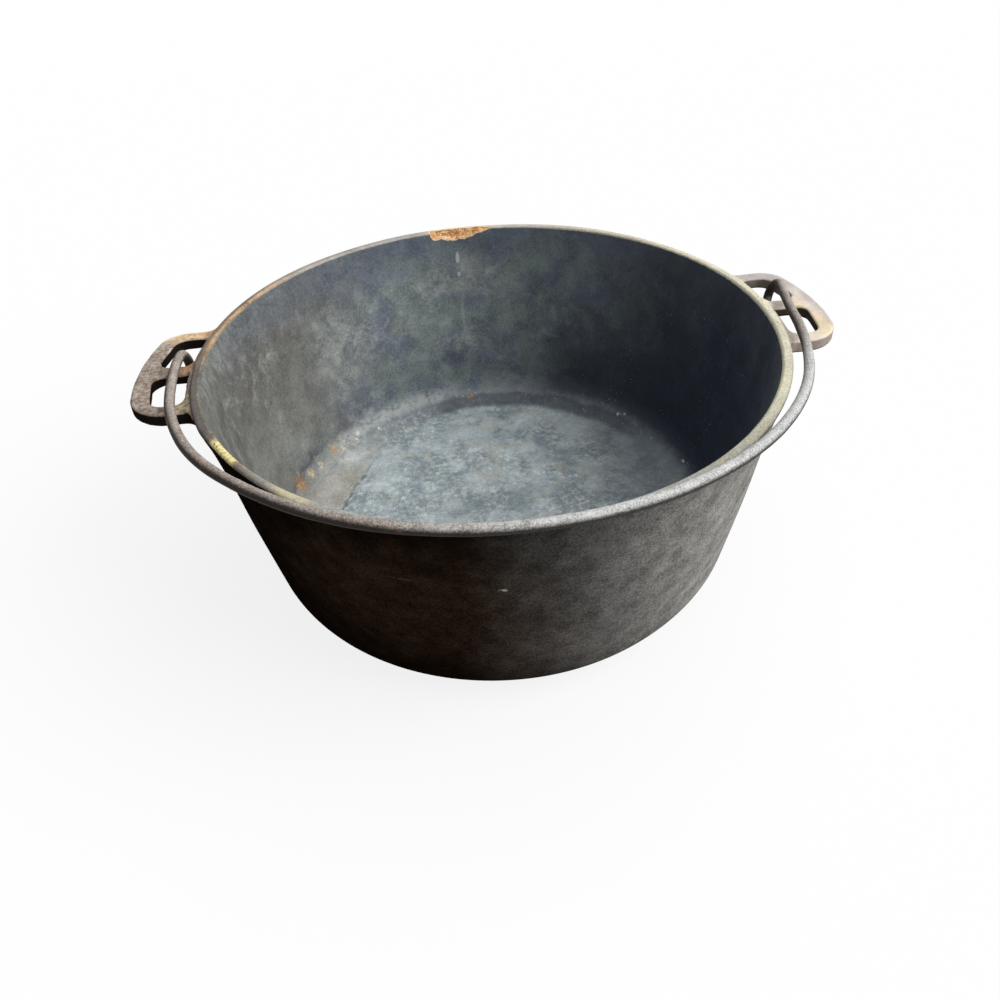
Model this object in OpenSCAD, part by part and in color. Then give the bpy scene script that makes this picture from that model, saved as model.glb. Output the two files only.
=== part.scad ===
// Old cast iron dutch oven: an open pot with two pierced ears and a bent wire bail.
// The origin is the middle of the flat base, +Z is up and the ears lie on the X axis.
// The bail is drawn folded forward, towards -Y, where it lies over the front of the rim.

/* [Pot] */
// Inside radius of the mouth
mouth_r = 130; // [105:1:160]
// Height from the ground to the top of the rim
pot_h = 114; // [92:1:140]
// Radius at which the straight outside wall would meet the ground
foot_r = 112; // [96:1:125]
// Thickness of the wall, measured level
wall_t = 4.6; // [4:0.1:5.8]
// Thickness of the floor
floor_t = 5; // [4:0.5:7]
// Outside radius of the curve between wall and base
heel_r = 26; // [20:1:32]
// Rounding of the two edges of the rim
rim_round = 1.2; // [0.5:0.1:1.8]

/* [Ears] */
// How far an ear stands out from the rim
ear_reach = 26.4; // [22:0.2:32]
// Length of an ear along the rim
ear_len = 72; // [60:1:90]
// Thickness of an ear
ear_t = 6; // [5:0.5:7.5]
// How far the top of an ear lies below the top of the rim
ear_drop = 3.5; // [2:0.5:6]
// Width of the band outside the holes
band_w = 9.7; // [7:0.1:11.6]
// Width of the two end bands
end_band_w = 7.5; // [6:0.5:11]
// Width of the bar between the two holes
bar_w = 9; // [7:0.5:10]
// Rounding of the bar's long edges, which the hook turns on
bar_round = 2.2; // [1.5:0.1:2.4]
// Radius of the ears' outside corners
ear_corner_r = 9; // [6:0.5:11]

/* [Bail] */
// Diameter of the wire
wire_d = 5.5; // [4.5:0.1:6.5]
// Radius of a hook, from the bar's middle to the wire's middle
hook_r = 7.9; // [7.5:0.1:8.6]
// How far round the bar a hook goes, in degrees
hook_sweep = 215; // [190:1:235]
// How far a hook leans towards the pot at its lower side, in degrees
hook_lean = 7; // [0:1:12]
// Distance of a hook from the outside of the rim
hook_gap = 9.6; // [8.8:0.1:11]
// How far the front of the folded bail lies outside the rim
bail_overhang = 1; // [0:0.1:2.5]
// Free space between the folded bail and the rim
bail_rest_gap = 0.6; // [0.3:0.1:1.5]

/* [Hidden] */
$fn = 96;

rim_r = mouth_r + wall_t;
slope = (rim_r - foot_r) / pot_h;
draft = atan(slope);
wire_r = wire_d / 2;
ear_top = pot_h - ear_drop;
bar_z = ear_top - ear_t / 2;
ear_out_x = rim_r + ear_reach;

// The ear's outer edge is a shallow arc that falls back this much at its ends.
ear_bow = 5;
ear_edge_r = (pow(ear_len / 2, 2) + pow(ear_bow, 2)) / (2 * ear_bow);
ear_edge_x = ear_out_x - ear_edge_r;

// The holes stay this far outside the wall, so a lip of iron runs along it.
hole_lip = 2.7;
hole_in_x = rim_r + hole_lip;
hole_out_x = ear_out_x - band_w;
hole_end_y = ear_len / 2 - end_band_w;
hole_in_r = 4;
hole_out_r = 6;
// Radii where the ear runs into the wall: in plan at its ends, above it and below it.
root_r = 6;
top_blend_r = 2.2;
under_blend_r = 3.8;
// The bar's inner end climbs to the rim on a small ramp that starts this far out.
ramp_out = 4;
// What runs into the wall ends this far inside its surface.
sink = 0.1;

hook_x = rim_r + hook_gap;
loop_h = hook_r * cos(hook_lean);
bail_front = rim_r + bail_overhang;
// One arc joins the two hooks by way of the front of the rim.
bail_y = (pow(hook_x, 2) - pow(bail_front, 2)) / (2 * bail_front);
bail_r = bail_front + bail_y;
bail_end = asin(bail_y / bail_r);
bail_rise = pot_h + bail_rest_gap + wire_r - bar_z - loop_h;
bail_tilt = asin(bail_rise / bail_front);
// Where the bail's arc turns into a hook, a collar a hair wider than the wire spans the seam.
seam_back = 2;
seam_on = 0.5;
seam_swell = 0.05;

// Outside radius of the wall at a height, above the heel's curve.
function wall_x(z) = foot_r + slope * z;

// Points along a round stretch, from one angle to another.
function arc(middle, r, from, to, steps) =
    [for (i = [0 : steps]) let (a = from + (to - from) * i / steps) middle + r * [cos(a), sin(a)]];

// Middle of a round of radius r that touches a level line at z0 from above and, from
// inside, the wall's line moved inwards by inset.
function heel_middle(r, z0, inset) = [wall_x(z0 + r) - inset - r / cos(draft), z0 + r];

// The pot's wall and floor, as the half section that is turned about the axis.
module shell() {
    z = pot_h - rim_round;
    rim_out = [wall_x(z) - rim_round / cos(draft), z];
    rim_in = [wall_x(z) - wall_t + rim_round / cos(draft), z];
    cove_r = heel_r - floor_t;
    rotate_extrude($fn = 180) polygon(concat(
        [[0, 0]],
        arc(heel_middle(heel_r, 0, 0), heel_r, -90, -draft, 18),
        arc(rim_out, rim_round, -draft, 90, 6),
        arc(rim_in, rim_round, 90, 180 - draft, 6),
        arc(heel_middle(cove_r, floor_t, wall_t), cove_r, -draft, -90, 18),
        [[0, floor_t]]
    ));
}

// Direction from the middle of circle a to the point where the straight side to
// circle b touches it. Circles are [x, y, r], taken anticlockwise.
function side_normal(a, b) =
    let (d = [b[0] - a[0], b[1] - a[1]], l = norm(d), u = d / l, s = (a[2] - b[2]) / l)
    u * s + [u[1], -u[0]] * sqrt(1 - s * s);

function turn_of(v) = atan2(v[1], v[0]);

// Outline with straight sides and round corners, from its corner circles.
function round_cornered(corners, steps) =
    let (n = len(corners))
    [for (i = [0 : n - 1])
        let (
            c = corners[i],
            from = turn_of(side_normal(corners[(i + n - 1) % n], c)),
            to = turn_of(side_normal(c, corners[(i + 1) % n])),
            sweep = (to - from + 360) % 360
        )
        each c[2] == 0 ? [[c[0], c[1]]] : arc([c[0], c[1]], c[2], from, from + sweep, steps)];

function mirrored(points) = [for (i = [len(points) - 1 : -1 : 0]) [points[i][0], -points[i][1]]];

// The outline of one ear seen from above, standing out towards +X. Each end runs into
// the wall with a hollow round, and the outer edge is one shallow arc.
module ear_outline() {
    corner_y = ear_len / 2 - ear_corner_r;
    corner_x = ear_edge_x + sqrt(pow(ear_edge_r - ear_corner_r, 2) - pow(corner_y, 2));
    edge_turn = atan2(corner_y, corner_x - ear_edge_x);
    root_wall = wall_x(ear_top - ear_t) - sink;
    root_y = ear_len / 2 + root_r;
    root_x = sqrt(pow(root_wall + root_r, 2) - pow(root_y, 2));
    half = concat(
        arc([ear_edge_x, 0], ear_edge_r, 0, edge_turn, 9),
        arc([corner_x, corner_y], ear_corner_r, edge_turn + 6, 90, 10),
        arc([root_x, root_y], root_r, -90, -180 + atan2(root_y, root_x), 6),
        [[root_wall * cos(atan2(root_y, root_x)) - wall_t / 2, root_wall * sin(atan2(root_y, root_x))]]
    );
    polygon(concat(half, [[mouth_r - 8, 0]], mirrored([for (i = [1 : len(half) - 1]) half[i]])));
}

// The opening through an ear, which the bar divides into two holes.
module ear_opening() {
    far_y = hole_end_y - hole_out_r;
    near_y = hole_end_y - hole_in_r;
    far_x = ear_edge_x + sqrt(pow(ear_edge_r - band_w, 2) - pow(far_y, 2)) - hole_out_r;
    near_x = sqrt(pow(hole_in_x, 2) - pow(near_y, 2)) + hole_in_r;
    polygon(round_cornered([
        [near_x, -near_y, hole_in_r], [far_x, -far_y, hole_out_r],
        [hole_out_x, -bar_w / 2, 0], [hole_out_x, bar_w / 2, 0],
        [far_x, far_y, hole_out_r], [near_x, near_y, hole_in_r],
        [hole_in_x, bar_w / 2, 0], [hole_in_x, -bar_w / 2, 0]
    ], 8));
}

// The bar that the hook turns on, with rounded long edges.
module ear_bar() {
    y = bar_w / 2 - bar_round;
    z = ear_t / 2 - bar_round;
    translate([hole_in_x - 1.5, 0, bar_z]) rotate([90, 0, 90])
        linear_extrude(hole_out_x - hole_in_x + 3) polygon(round_cornered(
            [[-y, -z, bar_round], [y, -z, bar_round], [y, z, bar_round], [-y, z, bar_round]], 6));
}

// The ramp from the bar's top up to the rim.
module bar_ramp() {
    width = bar_w - 2 * bar_round;
    top_z = pot_h - rim_round - 0.5;
    translate([0, width / 2, 0]) rotate([90, 0, 0]) linear_extrude(width)
        polygon([[rim_r - wall_t / 2, ear_top - 1], [rim_r + ramp_out, ear_top - 1],
            [rim_r + ramp_out, ear_top + sink], [wall_x(top_z) - sink, top_z], [rim_r - wall_t / 2, top_z]]);
}

// Half section of a hollow round between the wall and the ear's upper or lower face.
module blend_section(z, r, up) {
    round_mid = [wall_x(z) + r + (up > 0 ? slope * r : 0), z + up * r];
    polygon(concat(
        [[wall_x(z) - wall_t / 2, z - up], [round_mid[0], z - up]],
        [for (p = arc(round_mid, r, up * 270, up * 180, 6)) p - [sink, 0]],
        [[wall_x(z) - wall_t / 2, z + up * r]]
    ));
}

// Hollow rounds above and below the ear where it leaves the wall.
module wall_blends() {
    half_angle = asin((ear_len / 2 + 2) / rim_r);
    intersection() {
        rotate([0, 0, -half_angle]) rotate_extrude(angle = 2 * half_angle, $fn = 180) {
            blend_section(ear_top, top_blend_r, 1);
            blend_section(ear_top - ear_t, under_blend_r, -1);
        }
        translate([0, sink - ear_len / 2, 0]) cube([ear_out_x, ear_len - 2 * sink, pot_h]);
    }
}

module ear() {
    difference() {
        translate([0, 0, ear_top - ear_t]) linear_extrude(ear_t) difference() {
            ear_outline();
            ear_opening();
        }
        cylinder(h = pot_h, r = wall_x(bar_z) - wall_t / 2, $fn = 180);
    }
    ear_bar();
    bar_ramp();
    wall_blends();
}

module pot() {
    color([0.24, 0.23, 0.23]) {
        shell();
        ear();
        mirror([1, 0, 0]) ear();
    }
}

// A hook that starts at the origin, runs towards +Y and turns down and back under.
module hook() {
    translate([0, 0, -hook_r]) rotate([0, -90, 0])
        rotate_extrude(angle = hook_sweep, $fn = 96) translate([hook_r, 0]) circle(d = wire_d, $fn = 48);
    translate([0, -seam_back, 0]) rotate([-90, 0, 0])
        cylinder(h = seam_back + seam_on, r = wire_r + seam_swell, $fn = 48);
}

module bail() {
    seam_turn = seam_back / 4 / bail_r * 180 / PI;
    arc_end = bail_end + seam_turn;
    color([0.45, 0.43, 0.42]) translate([0, 0, bar_z]) rotate([-bail_tilt, 0, 0]) {
        translate([0, bail_y, loop_h])
            rotate_extrude(start = 180 + arc_end, angle = 180 - 2 * arc_end, $fn = 180)
                translate([bail_r, 0]) circle(d = wire_d, $fn = 48);
        for (side = [0, 1]) mirror([side, 0, 0])
            translate([hook_x, 0, loop_h]) rotate([0, 0, -bail_end]) rotate([0, hook_lean, 0]) hook();
    }
}

pot();
bail();
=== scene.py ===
"""Looks of an old cast iron dutch oven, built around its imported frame.

Lengths are in metres. Inside the materials, positions are in millimetres.
"""
import math
from functools import reduce
import bpy
import numpy as np
from mathutils import Matrix, Vector


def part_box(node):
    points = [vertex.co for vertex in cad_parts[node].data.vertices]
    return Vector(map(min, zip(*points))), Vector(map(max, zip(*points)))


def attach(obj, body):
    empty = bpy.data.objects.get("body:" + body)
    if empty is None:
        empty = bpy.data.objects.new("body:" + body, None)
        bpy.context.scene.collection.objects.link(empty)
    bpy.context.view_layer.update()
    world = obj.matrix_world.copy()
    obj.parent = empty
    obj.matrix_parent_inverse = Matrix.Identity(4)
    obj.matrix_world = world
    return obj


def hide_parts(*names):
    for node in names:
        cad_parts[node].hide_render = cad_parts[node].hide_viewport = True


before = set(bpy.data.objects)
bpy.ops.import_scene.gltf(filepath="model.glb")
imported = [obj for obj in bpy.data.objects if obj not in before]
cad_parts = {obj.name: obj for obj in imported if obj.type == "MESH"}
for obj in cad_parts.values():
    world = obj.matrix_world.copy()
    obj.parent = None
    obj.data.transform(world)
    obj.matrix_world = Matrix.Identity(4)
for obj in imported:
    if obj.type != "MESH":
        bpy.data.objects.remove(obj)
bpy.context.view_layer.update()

# Sizes that the frame gives.
POT_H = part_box("pot")[1].z
EAR_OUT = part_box("pot")[1].x - 0.0008

# The pot's shell.
MOUTH_R = 0.130
WALL_T = 0.0046
FLOOR_T = 0.005
FOOT_R = 0.112
HEEL_R = 0.026
RIM_ROUND = 0.0014
RIM_R = MOUTH_R + WALL_T
SLOPE = (RIM_R - FOOT_R) / POT_H
DRAFT = math.atan(SLOPE)
SHELL_SEGMENTS = 400
CAST_WOBBLE = 0.00022
# The outside is drawn in below the rim, from the first height up to the second.
WAIST = 0.0008
WAIST_Z = (0.055, 0.090)
# The rim is thinner between these angles round the mouth.
THIN_RIM = 0.0013
THIN_TURNS = (-157, -122)

# The ears, seen from above. Both are built towards +X, and the left one is mirrored.
EAR_DROP = 0.0035
EAR_T = 0.006
EAR_LEN = 0.072
EAR_BOW = 0.006
EAR_CORNERS = (0.019, 0.012)
EAR_ROOT = 0.009
BAND = 0.0083
END_BAND = 0.0075
BAR_W = 0.009
HOLE_LIP = 0.0020
HOLE_TAPER = 0.0009
EAR_TOP = POT_H - EAR_DROP
BAR_Z = EAR_TOP - EAR_T / 2
EAR_EDGE_R = ((EAR_LEN / 2) ** 2 + EAR_BOW ** 2) / (2 * EAR_BOW)
EAR_EDGE_X = EAR_OUT - EAR_EDGE_R
HOLE_IN = RIM_R + HOLE_LIP
HOLE_OUT = EAR_OUT - BAND
HOLE_END = EAR_LEN / 2 - END_BAND
EAR_GRID = 0.00045
# An ear's mesh ends this far under the shell's skin.
EAR_SINK = 0.00012
# Edges count as worn, and hollows as darker, when skin bends away within this reach.
EDGE_REACH = 0.0016
# The ramp that climbs from the bar to the rim.
RAMP = ((RIM_R + 0.0044, 0, EAR_TOP - 0.0026), (RIM_R - 0.0016, 0, POT_H - 0.0031))
RAMP_R = 0.0025

# The bail's wire. The two hooks are bent by hand and differ: each has a straight run past the
# bar, a sweep and a lean towards the pot, given for the left and the right one.
WIRE_R = 0.00215
HOOK_R = 0.0078
HOOK_RUN = (0.004, 0.011)
HOOK_SWEEP = (200, 205)
HOOK_LEAN = (6, 17)
HOOK_X = RIM_R + 0.0096
BAIL_FRONT = RIM_R + 0.001
BAIL_GAP = 0.0006
WIRE_SIDES = 28


def srgb(r, g, b):
    """A colour given as it is seen, 0 to 255, as Blender's linear RGBA."""
    def linear(c):
        c /= 255
        return c / 12.92 if c <= 0.04045 else ((c + 0.055) / 1.055) ** 2.4
    return (linear(r), linear(g), linear(b), 1.0)


def unit(vectors):
    """The same vectors with a length of 1."""
    return vectors / np.maximum(np.linalg.norm(vectors, axis=-1, keepdims=True), 1e-12)


def ripple(points, wavelength, seed):
    """Smooth values of about -1 to 1 at points, the same on every run."""
    rng = np.random.default_rng(seed)
    total = np.zeros(len(points))
    for _ in range(9):
        way = unit(rng.normal(size=3))
        pace = 2 * math.pi / (wavelength * rng.uniform(0.7, 1.4))
        total += np.sin(points @ (way * pace) + rng.uniform(0, 2 * math.pi))
    return total / 3


def cast_wobble(points):
    """The unevenness of a sand casting, which the shell and the ears share.

    The outside is drawn in a little below the rim, and the rim is thinner at the left front.
    """
    x, y, z = points.T
    radius = np.hypot(x, y)
    out = radius - wall_x(z)
    waist = WAIST * smooth((z - WAIST_Z[0]) / (WAIST_Z[1] - WAIST_Z[0])) * smooth((POT_H - z) / 0.009)
    turn = np.degrees(np.arctan2(y, x))
    thin = THIN_RIM * smooth((turn - THIN_TURNS[0]) / 9) * smooth((THIN_TURNS[1] - turn) / 12)
    thin *= smooth((z - 0.06) / 0.03)
    share = smooth(out / (WALL_T * 0.4) + 1.75) * (1 - smooth((out - 0.001) / 0.006))
    pull = (np.maximum(waist, thin) * share / np.maximum(radius, 1e-6))[:, None]
    shift = [ripple(points, 0.11, seed) for seed in (11, 12, 13)]
    return points * (1 - pull * [1, 1, 0]) + CAST_WOBBLE * np.stack(shift, axis=1)


def linked(name, data):
    """A new object in the scene."""
    thing = bpy.data.objects.new(name, data)
    bpy.context.scene.collection.objects.link(thing)
    return thing


def new_mesh(name, points, faces, materials, face_material=None):
    """A smooth-shaded mesh object from arrays."""
    mesh = bpy.data.meshes.new(name)
    mesh.from_pydata([tuple(p) for p in points], [], [tuple(int(i) for i in f) for f in faces])
    for material in materials:
        mesh.materials.append(material)
    mesh.polygons.foreach_set("use_smooth", [True] * len(mesh.polygons))
    if face_material is not None:
        mesh.polygons.foreach_set("material_index", face_material)
    mesh.update()
    return linked(name, mesh)


def set_values(piece, name, values):
    """Stores one number for each point of a mesh."""
    attribute = piece.data.attributes.new(name, "FLOAT", "POINT")
    attribute.data.foreach_set("value", np.asarray(values, np.float32))


def arc(centre, radius, start, end, count):
    """Points along a round stretch in a plane, angles in degrees."""
    turn = np.radians(np.linspace(start, end, count))
    return np.stack([centre[0] + radius * np.cos(turn), centre[1] + radius * np.sin(turn)], axis=1)


def ring_faces(rows, n):
    """Four-sided faces between rows of n points, each row closed into a ring."""
    i = np.arange(n)
    j = (i + 1) % n
    ring = np.stack([i, j, n + j, n + i], axis=1)
    return np.vstack([ring + n * row for row in range(rows - 1)]).tolist()


def direction(azimuth, elevation):
    """Unit vector at an azimuth from +X towards +Y and an elevation, in radians."""
    level = math.cos(elevation)
    return Vector((math.cos(azimuth) * level, math.sin(azimuth) * level, math.sin(elevation)))


def straight(a, b, step):
    """Points from a to b about step apart, without the two ends."""
    a, b = np.array(a), np.array(b)
    count = max(2, int(np.linalg.norm(b - a) / step))
    return a + (b - a) * np.linspace(0, 1, count + 1)[1:-1, None]


def wall_x(z):
    return FOOT_R + SLOPE * z


def heel_middle(radius, z0, inset):
    return (wall_x(z0 + radius) - inset - radius / math.cos(DRAFT), z0 + radius)


def shell_section():
    """Half section of the shell: from the base's middle over the rim to the floor's middle."""
    draft = math.degrees(DRAFT)
    z = POT_H - RIM_ROUND
    reach = RIM_ROUND / math.cos(DRAFT)
    cove = HEEL_R - FLOOR_T
    heel = arc(heel_middle(HEEL_R, 0, 0), HEEL_R, -90, -draft, 26)
    rim_out = arc((wall_x(z) - reach, z), RIM_ROUND, -draft, 90, 9)
    rim_in = arc((wall_x(z) - WALL_T + reach, z), RIM_ROUND, 90, 180 - draft, 9)
    inner = arc(heel_middle(cove, FLOOR_T, WALL_T), cove, -draft, -90, 26)
    upper_in = rim_in[-1] + (inner[0] - rim_in[-1]) * 0.13
    return np.vstack([
        [[0, 0]], straight((0, 0), heel[0], 0.007), heel,
        straight(heel[-1], rim_out[0], 0.003), rim_out,
        straight(rim_out[-1], rim_in[0], 0.0006), rim_in,
        straight(rim_in[-1], upper_in, 0.0005), [upper_in],
        straight(upper_in, inner[0], 0.003), inner,
        straight(inner[-1], (0, FLOOR_T), 0.005), [[0, FLOOR_T]],
    ])


# The piece broken out of the rim's inner edge at the back: its two ends round the mouth in
# degrees, how far down it reaches, how much wall it takes at the top, and the steps of its mesh.
CHIP_FROM = 82.3
CHIP_TO = 98.9
CHIP_DROP = 0.0066
CHIP_DEPTH = 0.0019
CHIP_STEPS = 110


def smooth(value):
    """Eases a value from 0 to 1."""
    value = np.clip(value, 0, 1)
    return value * value * (3 - 2 * value)


def chip_floor(turn):
    """How far below the rim's top the break ends, along the mouth. Zero outside the break."""
    across = (turn - CHIP_FROM) / (CHIP_TO - CHIP_FROM)
    right = np.clip(across / 0.5, 0, 1) ** 0.8
    left = np.clip((1 - across) / 0.05, 0, 1) ** 0.5
    ragged = 1 + 0.07 * np.sin(across * 21) + 0.05 * np.sin(across * 43 + 1)
    ragged += 0.02 * np.sin(across * 90)
    sag = 1 - 0.28 * np.clip((across - 0.55) / 0.45, 0, 1)
    return CHIP_DROP * np.minimum(right, left) * ragged * sag


def break_chip(points):
    """Takes the chip out of the inner edge of the rim. Also returns how deep each point went."""
    radius = np.hypot(points[:, 0], points[:, 1])
    turn = np.degrees(np.arctan2(points[:, 1], points[:, 0]))
    z = points[:, 2]
    inner = wall_x(z) - WALL_T
    drop = chip_floor(turn)
    rise = np.clip((z - (POT_H - drop)) / np.maximum(drop, 1e-6), 0, 1)
    grain = 0.1 * ripple(points, 0.006, 31) + 0.06 * ripple(points, 0.0028, 32)
    cut = CHIP_DEPTH * smooth(rise * 2.6) * (0.6 + 0.4 * rise + grain) * smooth(drop / 0.0025)
    push = np.clip(inner + cut - radius, 0, None) * (cut > 0) * (radius < wall_x(z) - WALL_T * 0.5)
    out = points.copy()
    out[:, :2] += push[:, None] * points[:, :2] / np.maximum(radius, 1e-6)[:, None]
    near_edge = smooth((wall_x(z) - WALL_T * 0.3 - radius) / (WALL_T * 0.3)) * (z > POT_H - 0.001)
    out[:, 2] -= 0.0006 * smooth(drop / 0.0025) * near_edge * (1 + 0.4 * ripple(points, 0.005, 33))
    depth = np.clip(push / 0.0003, 0, 1) + near_edge * smooth(drop / 0.0025)
    return out, np.clip(depth, 0, 1)


def make_shell(materials):
    """The pot's turned shell: floor, flared wall and rim."""
    section = shell_section()
    fine = np.linspace(CHIP_FROM - 1, CHIP_TO + 1, CHIP_STEPS)
    turns = np.arange(SHELL_SEGMENTS) * 360 / SHELL_SEGMENTS
    turns = np.sort(np.concatenate([turns[(turns < fine[0]) | (turns > fine[-1])], fine]))
    n, m = len(turns), len(section)
    a = np.radians(turns)
    ring = section[1:-1]
    points = np.stack([
        ring[:, 0, None] * np.cos(a), ring[:, 0, None] * np.sin(a), np.repeat(ring[:, 1, None], n, 1)
    ], axis=2).reshape(-1, 3)
    points = np.vstack([points, [[0, 0, 0], [0, 0, FLOOR_T]]])
    base_mid, floor_mid = len(points) - 2, len(points) - 1
    i = np.arange(n)
    j = (i + 1) % n
    faces = [[base_mid, b, c] for b, c in zip(j, i)] + ring_faces(m - 2, n)
    last = (m - 3) * n
    faces += [[last + b, last + c, floor_mid] for b, c in zip(i, j)]
    top_row = int(np.argmax(ring[:, 1] >= POT_H - 1e-9)) + 8
    inside = np.array([max(f) >= top_row * n and base_mid not in f for f in faces])
    points, chipped = break_chip(points)
    points = cast_wobble(points)
    points[:, 2] = np.where(points[:, 2] < 0.0004, np.maximum(points[:, 2], 0), points[:, 2])
    shell = new_mesh("pot_shell", points, faces, materials, inside.astype(int))
    set_values(shell, "chip", chipped)
    return shell


def side_normal(a, b):
    """Unit vector from the middle of circle a to where the straight side to circle b touches it."""
    d = np.array(b[:2]) - np.array(a[:2])
    length = np.linalg.norm(d)
    u = d / length
    s = (a[2] - b[2]) / length
    return u * s + np.array([u[1], -u[0]]) * math.sqrt(1 - s * s)


def round_cornered(corners, count=9):
    """Outline with straight sides and round corners from its corner circles, anticlockwise."""
    outline = []
    for k, corner in enumerate(corners):
        before = side_normal(corners[k - 1], corner)
        after = side_normal(corner, corners[(k + 1) % len(corners)])
        start = math.degrees(math.atan2(before[1], before[0]))
        sweep = (math.degrees(math.atan2(after[1], after[0])) - start) % 360
        outline.append(arc(corner[:2], corner[2], start, start + sweep, count))
    return np.vstack(outline)


def half_outline(corner_r):
    """The far half of the ear seen from above, with a hollow round where it runs into the wall."""
    corner_y = EAR_LEN / 2 - corner_r
    corner_x = EAR_EDGE_X + math.sqrt((EAR_EDGE_R - corner_r) ** 2 - corner_y ** 2)
    edge_turn = math.degrees(math.atan2(corner_y, corner_x - EAR_EDGE_X))
    wall = wall_x(EAR_TOP - EAR_T)
    root_y = EAR_LEN / 2 + EAR_ROOT
    root_x = math.sqrt((wall + EAR_ROOT) ** 2 - root_y ** 2)
    turn = math.degrees(math.atan2(root_y, root_x))
    return np.vstack([
        arc((EAR_EDGE_X, 0), EAR_EDGE_R, 0, edge_turn, 12),
        arc((corner_x, corner_y), corner_r, edge_turn + 5, 90, 12),
        arc((root_x, root_y), EAR_ROOT, -90, turn - 180, 10),
        arc((0, 0), wall - 0.004, turn, turn, 1),
    ])


def ear_outline():
    """The whole ear seen from above. Its near corner is rounder than its far one."""
    near, far = [half_outline(corner_r) for corner_r in EAR_CORNERS]
    return np.vstack([far, [[MOUTH_R - 0.008, 0]], near[:0:-1] * [1, -1]])


def ear_hole():
    """The hole beyond the bar. The one before it is its mirror image."""
    end_r, out_r, bar_out_r, bar_in_r = 0.004, 0.006, 0.0048, 0.0018
    end_y = HOLE_END - end_r
    out_y = HOLE_END - out_r
    out_x = EAR_EDGE_X + math.sqrt((EAR_EDGE_R - BAND) ** 2 - out_y ** 2) - out_r
    end_x = math.sqrt(HOLE_IN ** 2 - end_y ** 2) + end_r
    return round_cornered([
        (HOLE_OUT - bar_out_r, BAR_W / 2 + bar_out_r, bar_out_r), (out_x, out_y, out_r),
        (end_x, end_y, end_r), (HOLE_IN + bar_in_r, BAR_W / 2 + bar_in_r, bar_in_r),
    ])


def outline_distance(x, y, outline):
    """Distance from points to a closed outline, below zero inside it."""
    best = np.full(x.shape, 1e9)
    inside = np.zeros(x.shape, bool)
    for a, b in zip(outline, np.roll(outline, -1, axis=0)):
        side = b - a
        along = np.clip(((x - a[0]) * side[0] + (y - a[1]) * side[1]) / max(side @ side, 1e-18), 0, 1)
        best = np.minimum(best, (x - a[0] - along * side[0]) ** 2 + (y - a[1] - along * side[1]) ** 2)
        if a[1] != b[1]:
            cross = (a[1] > y) != (b[1] > y)
            inside ^= cross & (x < a[0] + (y - a[1]) * side[0] / side[1])
    return np.where(inside, -1, 1) * np.sqrt(best)


def smooth_union(a, b, blend):
    """The nearer of two surfaces, with a hollow round of about blend between them."""
    h = np.clip(1 - np.abs(a - b) / blend, 0, 1)
    return np.minimum(a, b) - h * h * blend / 4


def rounded(flat, level, radius):
    """Distance to a plate with rounded edges, from the distances in plan and to its faces."""
    u, v = flat + radius, level + radius
    return np.minimum(np.maximum(u, v), 0) + np.hypot(np.maximum(u, 0), np.maximum(v, 0)) - radius


def wall_distance(x, y, z):
    """Distance to the pot's wall near the rim."""
    middle = wall_x(z) - WALL_T / 2
    flat = np.abs(np.hypot(x, y) - middle) * math.cos(DRAFT) - WALL_T / 2 * math.cos(DRAFT)
    return rounded(flat, z - POT_H, RIM_ROUND)


def capsule(x, y, z, a, b, radius):
    """Distance to a round-ended rod."""
    a, b = np.array(a), np.array(b)
    side = b - a
    along = (x - a[0]) * side[0] + (y - a[1]) * side[1] + (z - a[2]) * side[2]
    along = np.clip(along / (side @ side), 0, 1)
    return np.sqrt(sum((p - q - along * s) ** 2 for p, q, s in zip((x, y, z), a, side))) - radius


class EarShape:
    """The ear as a distance: a pierced plate run into the wall with cast hollow rounds."""

    def __init__(self, seed):
        self.outline = ear_outline()
        self.hole = ear_hole()
        self.seed = seed

    def plan(self, x, y):
        """Distances in plan to the outline and to the nearer hole."""
        return outline_distance(x, y, self.outline), outline_distance(x, np.abs(y), self.hole)

    def distance(self, x, y, z, plan=None):
        """Distance to the ear and the wall. The holes widen a little downwards."""
        outline, hole = plan or self.plan(x, y)
        low = np.clip((BAR_Z - z) / EAR_T + 0.5, 0, 1)
        flat = np.maximum(outline, HOLE_TAPER * low - hole)
        on_bar = np.clip(1.4 - np.abs(y) / 0.0065, 0, 1) * np.clip((HOLE_OUT + 0.001 - x) / 0.004, 0, 1)
        radius = 0.0011 + 0.0011 * on_bar
        plate = rounded(flat, np.abs(z - BAR_Z) - EAR_T / 2, radius)
        plate = smooth_union(plate, capsule(x, y, z, *RAMP, RAMP_R), 0.0022)
        blend = 0.0054 * low + (1 - low) * (0.0012 + 0.0055 * smooth((POT_H - z) / 0.003))
        return smooth_union(plate, wall_distance(x, y, z), blend)

    def rough(self, points):
        """Lumps and pits of the sand on the ear's skin."""
        lumps, pits = ripple(points, 0.009, self.seed), ripple(points, 0.0035, self.seed + 1)
        return 0.00005 * lumps + 0.00002 * pits


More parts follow.
